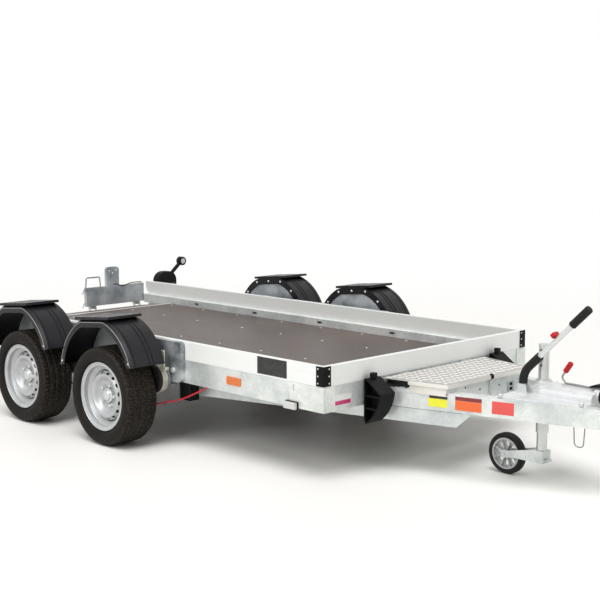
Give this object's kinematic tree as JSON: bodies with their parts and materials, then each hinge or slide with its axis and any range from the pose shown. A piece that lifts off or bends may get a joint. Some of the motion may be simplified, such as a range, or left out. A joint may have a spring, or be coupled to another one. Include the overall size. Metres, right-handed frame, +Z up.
{
  "type": "car trailer",
  "caption": "Low tandem-axle flatbed car trailer with galvanised frame, plywood deck, low aluminium walls, overrun coupling, swivelling jockey wheel and folding rear flaps.",
  "frame": {"origin": "middle of the overall box, on the ground under the tyres", "axes": "+X forward to the coupling, +Y to the trailer's left, +Z up"},
  "size_m": [4.9262, 2.2418, 0.8654],
  "materials": {
    "amber_lens": "amber reflector",
    "black_plastic": "moulded black plastic",
    "black_rubber": "black rubber",
    "bright_steel": "bright zinc-plated steel tube",
    "chequer_plate": "aluminium chequer plate",
    "deck_plywood": "film-faced birch plywood, dark brown",
    "galvanised": "hot-dip galvanised steel, matt with a faint spangle",
    "red_lens": "red lens",
    "red_plastic": "red plastic",
    "rim_silver": "silver wheel paint",
    "road_tyre": "black tyre rubber",
    "wall_aluminium": "anodised extruded sections",
    "white_lens": "clear-white lens",
    "zinc_casting": "zinc-plated pressed and cast steel"
  },
  "bodies": {
    "chassis": {"arm_boots": "black_rubber", "axle_plates": "galvanised", "axle_tubes": "galvanised", "bellows": "black_rubber", "brake_cables": "red_plastic", "console_box": "galvanised", "corner_caps": "black_plastic", "corner_plates": "galvanised", "coupling_handle": "black_plastic", "coupling_head": "zinc_casting", "cross_members": "galvanised", "deck_boards": "deck_plywood", "drawbar_beams": "galvanised", "fender_plates": "galvanised", "fenders_left": "black_plastic", "fenders_right": "black_plastic", "front_beam": "galvanised", "front_wall": "wall_aluminium", "handbrake_lever": "bright_steel", "jockey_sleeve": "bright_steel", "kink_strip": "chequer_plate", "lamp_bodies": "black_plastic", "lever_covers": "black_rubber", "marker_lenses": "white_lens", "overrun_housing": "zinc_casting", "rear_beam": "galvanised", "rear_lenses": "red_lens", "red_grips": "red_plastic", "side_reflectors": "amber_lens", "side_walls": "wall_aluminium", "sills": "galvanised", "small_brackets": "galvanised", "trailing_arms": "galvanised", "under_rails": "galvanised", "wheel_chocks": "black_plastic"},
    "console_lid": {"console_lid": "chequer_plate"},
    "ramp_flap_left": {"ramp_flap_left": "galvanised"},
    "ramp_flap_right": {"ramp_flap_right": "galvanised"},
    "jockey_mast": {"jockey_leg": "bright_steel"},
    "jockey_caster": {"jockey_fork": "galvanised"},
    "jockey_roller": {"jockey_rim": "black_plastic", "jockey_tyre": "black_rubber"},
    "wheel_front_left": {"tyre_front_left": "road_tyre", "rim_front_left": "rim_silver"},
    "wheel_front_right": {"tyre_front_right": "road_tyre", "rim_front_right": "rim_silver"},
    "wheel_rear_left": {"tyre_rear_left": "road_tyre", "rim_rear_left": "rim_silver"},
    "wheel_rear_right": {"tyre_rear_right": "road_tyre", "rim_rear_right": "rim_silver"}
  },
  "joints": [
    {"name": "wheel_front_left_spin", "type": "hinge", "parent": "chassis", "child": "wheel_front_left", "pos_m": [-0.10887, 1.002, 0.2625], "axis": [0, 1, 0], "continuous": true},
    {"name": "wheel_front_right_spin", "type": "hinge", "parent": "chassis", "child": "wheel_front_right", "pos_m": [-0.10887, -1.002, 0.2625], "axis": [0, 1, 0], "continuous": true},
    {"name": "wheel_rear_left_spin", "type": "hinge", "parent": "chassis", "child": "wheel_rear_left", "pos_m": [-0.88887, 1.002, 0.2625], "axis": [0, 1, 0], "continuous": true},
    {"name": "wheel_rear_right_spin", "type": "hinge", "parent": "chassis", "child": "wheel_rear_right", "pos_m": [-0.88887, -1.002, 0.2625], "axis": [0, 1, 0], "continuous": true},
    {"name": "jockey_lift", "type": "slide", "parent": "chassis", "child": "jockey_mast", "axis": [0, 0, 1], "range_m": [-0.1, 0.08]},
    {"name": "jockey_swivel", "type": "hinge", "parent": "jockey_mast", "child": "jockey_caster", "pos_m": [1.89813, 0, 0.15], "axis": [0, 0, 1], "continuous": true},
    {"name": "jockey_spin", "type": "hinge", "parent": "jockey_caster", "child": "jockey_roller", "pos_m": [1.70513, 0, 0.1], "axis": [0, 1, 0], "continuous": true},
    {"name": "console_lid_hinge", "type": "hinge", "parent": "chassis", "child": "console_lid", "pos_m": [1.25513, 0, 0.46], "axis": [0, -1, 0], "range_deg": [0, 85]},
    {"name": "ramp_flap_left_hinge", "type": "hinge", "parent": "chassis", "child": "ramp_flap_left", "pos_m": [-2.18087, 0.497, 0.398], "axis": [0, -1, 0], "range_deg": [0, 105]},
    {"name": "ramp_flap_right_hinge", "type": "hinge", "parent": "chassis", "child": "ramp_flap_right", "pos_m": [-2.18087, -0.497, 0.398], "axis": [0, -1, 0], "range_deg": [-105, 0]}
  ]
}
